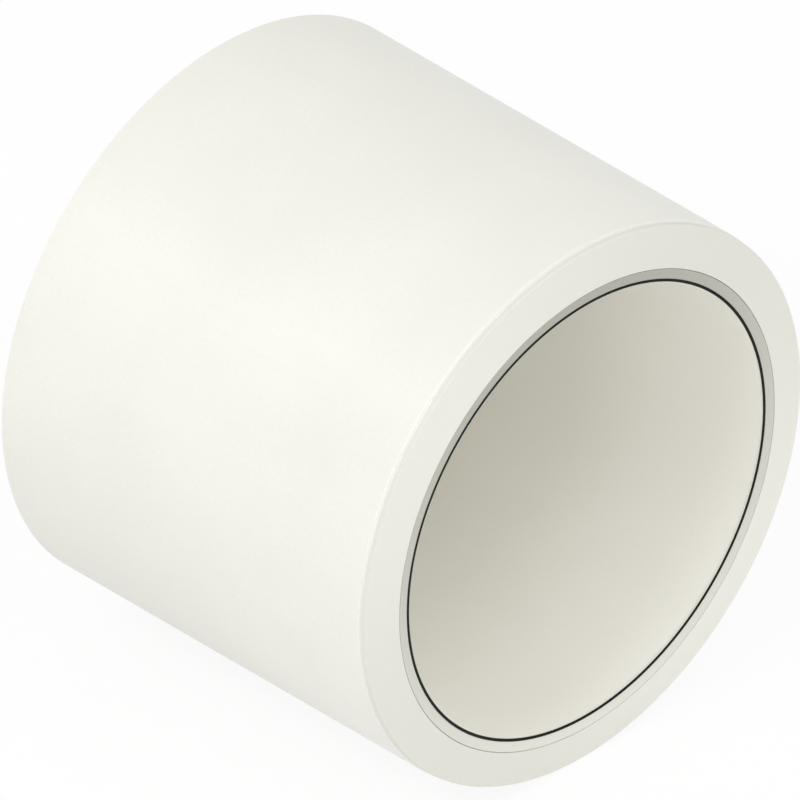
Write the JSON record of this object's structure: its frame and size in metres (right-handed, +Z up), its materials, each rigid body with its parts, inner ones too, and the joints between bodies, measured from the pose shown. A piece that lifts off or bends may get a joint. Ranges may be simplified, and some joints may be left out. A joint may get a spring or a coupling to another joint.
{
  "type": "eccentric pipe reducer",
  "caption": "Plain cylindrical eccentric reducer: the outside fits a larger pipe's socket, and the offset mouth takes a smaller pipe past a thin lip seal.",
  "frame": {"origin": "middle of the rear end face of the large end, on the large axis", "axes": "+X along the fitting's axis, out of the small pipe's mouth; +Z up; the small axis is offset 2.54 mm, 35 degrees from straight down (-Z) towards +Y"},
  "size_m": [0.117, 0.1412, 0.1412],
  "materials": {
    "sleeve_plastic": "smooth, satin off-white rigid PVC",
    "ring_plastic": "turned, fine matt off-white rigid PVC",
    "socket_plastic": "smooth warm-grey rigid PVC bore",
    "seal_rubber": "matt black moulded EPDM"
  },
  "bodies": {
    "root": {"outer_sleeve": "sleeve_plastic", "front_ring": "ring_plastic", "socket_sleeve": "socket_plastic", "transition_ring": "socket_plastic", "lip_seal": "seal_rubber", "retaining_cap": "ring_plastic"}
  },
  "joints": []
}
